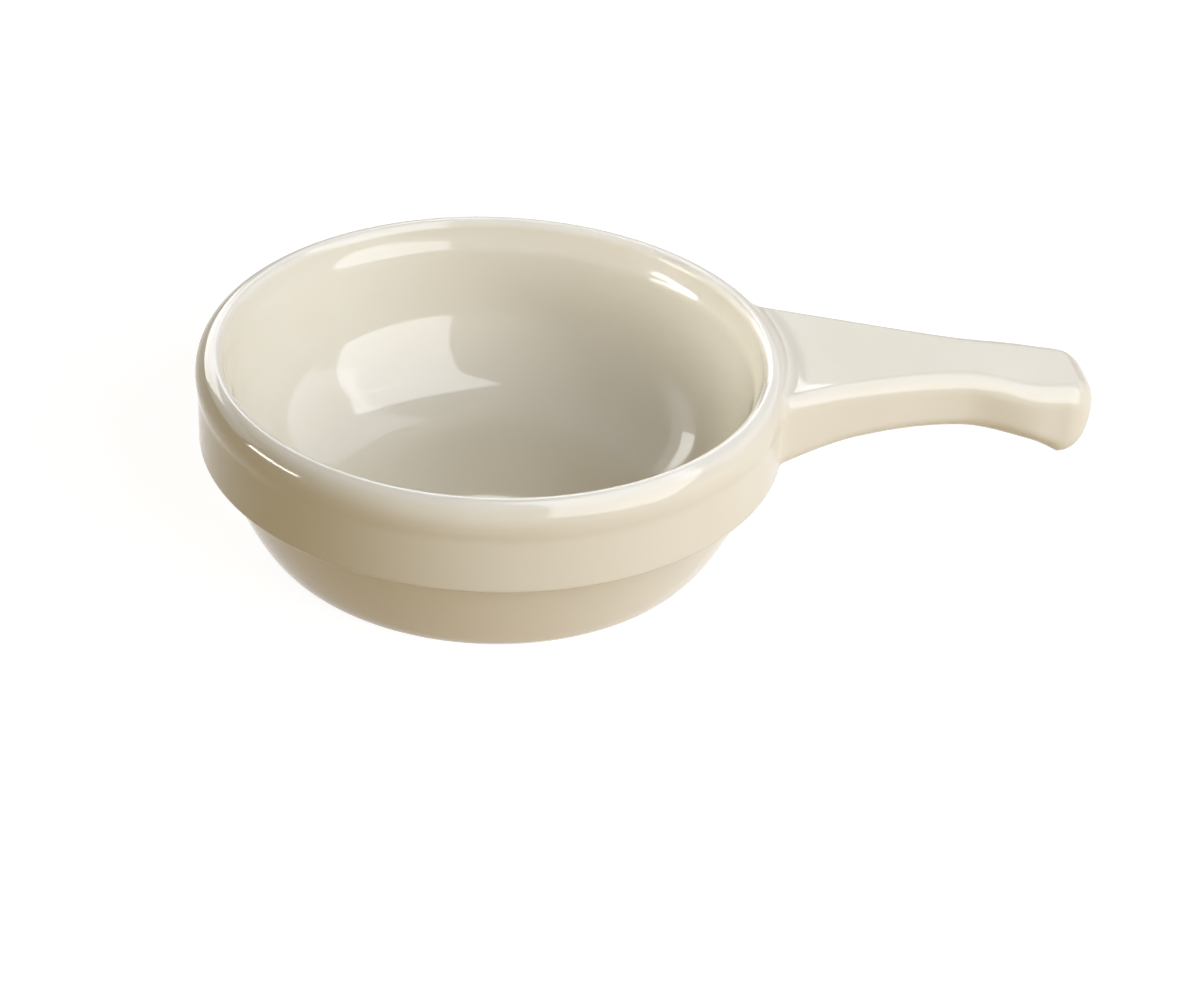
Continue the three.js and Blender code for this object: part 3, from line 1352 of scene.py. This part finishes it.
@dataclass(frozen=True)
class Studio:
    """Pale floor, white surround and soft lamps."""

    floor_size: float = 4.0
    floor_tone: Colour = (0.52, 0.37, 0.12)
    room_tone: Colour = (0.31, 0.24, 0.095)
    room_fade: Point = (1.1, 0.25)
    room_band: Point = (0.2, 0.9)
    floor_glow: float = 0.92
    floor_shade: Colour = (0.25, 0.25, 0.25)
    white: Colour = (1.0, 1.0, 1.0)
    lamps: tuple[Softbox, ...] = (
        Softbox("window_right", -44.0, 29.0, 1.4, 1.30, 1.26, 3.6, DAYLIGHT, lean=36.0),
        Softbox("window_top", -44.0, 29.0, 1.4, 1.30, 1.37, 3.6, DAYLIGHT, LampKind.SPARKLE, 36.0, 1.315),
        Softbox("window_over", 43.8, 67.9, 1.4, 0.752, 0.369, 3.6, DAYLIGHT, LampKind.SPARKLE, 36.0),
        Softbox("handle_glow", 20.0, 65.0, 1.4, 0.60, 1.20, 3.4, DAYLIGHT, LampKind.SPARKLE, 65.0, 1.80),
        Softbox("right_glow", 40.0, 38.0, 1.6, 2.40, 1.10, 1.4, DAYLIGHT, LampKind.SPARKLE),
        Softbox("back_left", 114.0, 33.0, 1.5, 1.70, 0.90, 1.0, (1.0, 0.97, 0.90), LampKind.FILL),
        Softbox("back_wide", 125.0, 26.0, 1.4, 2.10, 0.64, 1.0, DAYLIGHT, LampKind.SPARKLE),
        Softbox("strip_back", 115.0, 24.0, 1.4, 0.76, 0.50, 4.0, kind=LampKind.SPARKLE),
        Softbox("strip_left", 181.0, 11.0, 1.3, 0.56, 0.18, 14.0, kind=LampKind.SPARKLE),
        Softbox(
            "rim_skim", 180.0, 15.3, 0.32, 0.25, 0.02, 1.3, kind=LampKind.FILL, aim=RIM_RIGHT, spread=14.0
        ),
    )

    def build(self) -> None:
        """Lays the floor and sets the light."""
        self._floor()
        self._surround()
        for lamp in self.lamps:
            lamp.build()
        bpy.context.scene.view_settings.view_transform = "Standard"

    def _floor(self) -> None:
        """Lays a floor that is pale to the object and white to the eye, with the object's shadow."""
        Bench.clear_selection()
        bpy.ops.mesh.primitive_plane_add(size=self.floor_size)
        floor = bpy.context.object
        floor.name = "studio_floor"
        made = bpy.data.materials.new("studio_floor")
        made.use_nodes = True
        tree = NodeTree(made)
        shader = tree.shader()
        shader.inputs["Base Color"].default_value = (*self.floor_tone, 1.0)
        shader.inputs["Roughness"].default_value = 1.0
        shader.inputs["Specular IOR Level"].default_value = 0.0
        white = tree.add("ShaderNodeBsdfDiffuse", Color=self.floor_shade)
        glow = tree.add("ShaderNodeEmission", Color=self.white, Strength=self.floor_glow)
        seen = tree.add("ShaderNodeAddShader")
        tree.join(white.outputs[0], seen.inputs[0])
        tree.join(glow.outputs[0], seen.inputs[1])
        both = tree.add("ShaderNodeMixShader", Fac=self._eye(tree))
        tree.join(shader.outputs[0], both.inputs[1])
        tree.join(seen.outputs[0], both.inputs[2])
        out = next(n for n in tree.tree.nodes if n.type == "OUTPUT_MATERIAL")
        tree.join(both.outputs[0], out.inputs["Surface"])
        floor.data.materials.append(made)

    def _surround(self) -> None:
        """Sets the room's dim warm light, white to the eye."""
        world = bpy.data.worlds.new("studio_surround")
        world.use_nodes = True
        bpy.context.scene.world = world
        tree = NodeTree(world)
        room = next(n for n in tree.tree.nodes if n.type == "BACKGROUND")
        room.inputs["Color"].default_value = (*self.room_tone, 1.0)
        way = tree.add("ShaderNodeTexCoord").outputs["Generated"]
        rise = tree.add("ShaderNodeSeparateXYZ", Vector=way).outputs["Z"]
        tree.join(tree.ramp(rise, *self.room_band, *self.room_fade), room.inputs["Strength"])
        white = tree.add("ShaderNodeBackground", Color=self.white, Strength=1.0)
        both = tree.add("ShaderNodeMixShader", Fac=self._eye(tree))
        tree.join(room.outputs[0], both.inputs[1])
        tree.join(white.outputs[0], both.inputs[2])
        out = next(n for n in tree.tree.nodes if n.type == "OUTPUT_WORLD")
        tree.join(both.outputs[0], out.inputs["Surface"])

    @staticmethod
    def _eye(tree: NodeTree) -> bpy.types.NodeSocket:
        """A mask that is 1 for what the eye, a mirror or glass sees.

        Args:
            tree: The node tree.

        Returns:
            The mask's socket.
        """
        path = tree.add("ShaderNodeLightPath")
        total = path.outputs["Is Camera Ray"]
        for name in ("Is Glossy Ray", "Is Transmission Ray"):
            total = tree.sum_up("MAXIMUM", total, path.outputs[name])
        return total


def set_piece(piece: bpy.types.Object, node: Node) -> None:
    """Lets a piece stand for its node on the part's one body.

    Args:
        piece: The finished piece.
        node: The node that it stands for.
    """
    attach(piece, "root")
    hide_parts(node.value)
    LOG.info("%s stands for %s with %d faces", piece.name, node.value, len(piece.data.polygons))


def main() -> None:
    """Builds the bowl, the handle and the slip between them, and sets the scene."""
    logging.basicConfig(level=logging.INFO, format="%(name)s: %(message)s")
    PhotoCamera().build()
    bowl = Bowl()
    handle = Handle(bowl)
    slip = SlipFillet(bowl, handle)
    bowl_piece = bowl.build()
    handle_piece = handle.build(slip.root)
    slip_piece = slip.build(bowl_piece, handle_piece)
    bowl.dress(bowl_piece)
    handle.dress(handle_piece)
    slip.dress(slip_piece)
    set_piece(bowl_piece, Node.BOWL)
    set_piece(handle_piece, Node.HANDLE)
    set_piece(slip_piece, Node.SLIP)
    Studio().build()


if __name__ == "__main__":
    main()
